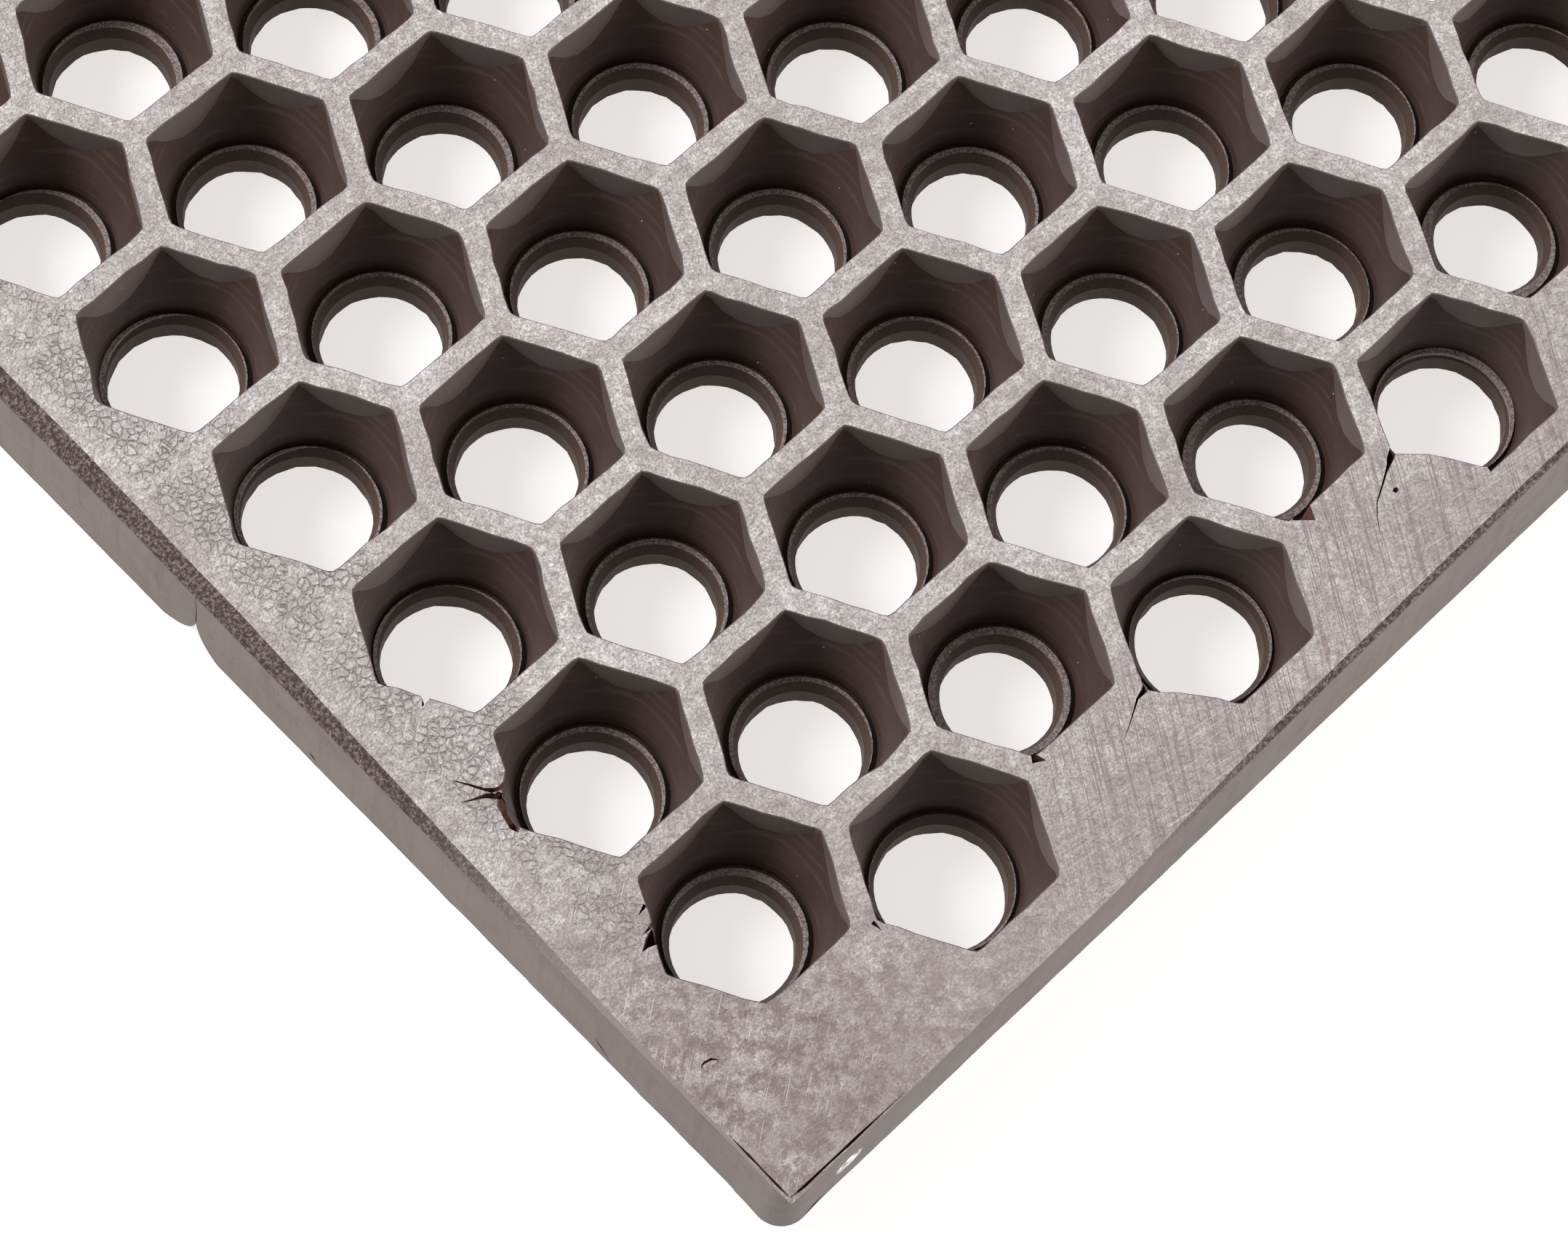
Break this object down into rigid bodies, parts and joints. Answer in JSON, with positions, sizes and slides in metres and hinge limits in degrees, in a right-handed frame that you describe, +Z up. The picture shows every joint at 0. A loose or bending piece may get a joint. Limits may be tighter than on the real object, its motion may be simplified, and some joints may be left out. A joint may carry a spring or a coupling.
{
  "type": "rubber drainage mat",
  "caption": "Moulded rubber floor mat with staggered six-sided wells, each narrowing to a ledge and a round through hole that lets water and dirt drain away underfoot.",
  "frame": {"origin": "middle of the underside, on the floor that the mat lies on", "axes": "+Z up through the thickness, +Y along the mat's long way and the rows of wells, +X across it"},
  "size_m": [0.4, 0.6, 0.023],
  "materials": {
    "worn_rubber": "matt moulded rubber, worn pale grey on the top face, darker brown grey inside the wells"
  },
  "bodies": {
    "root": {"drainage_mat": "worn_rubber"}
  },
  "joints": []
}
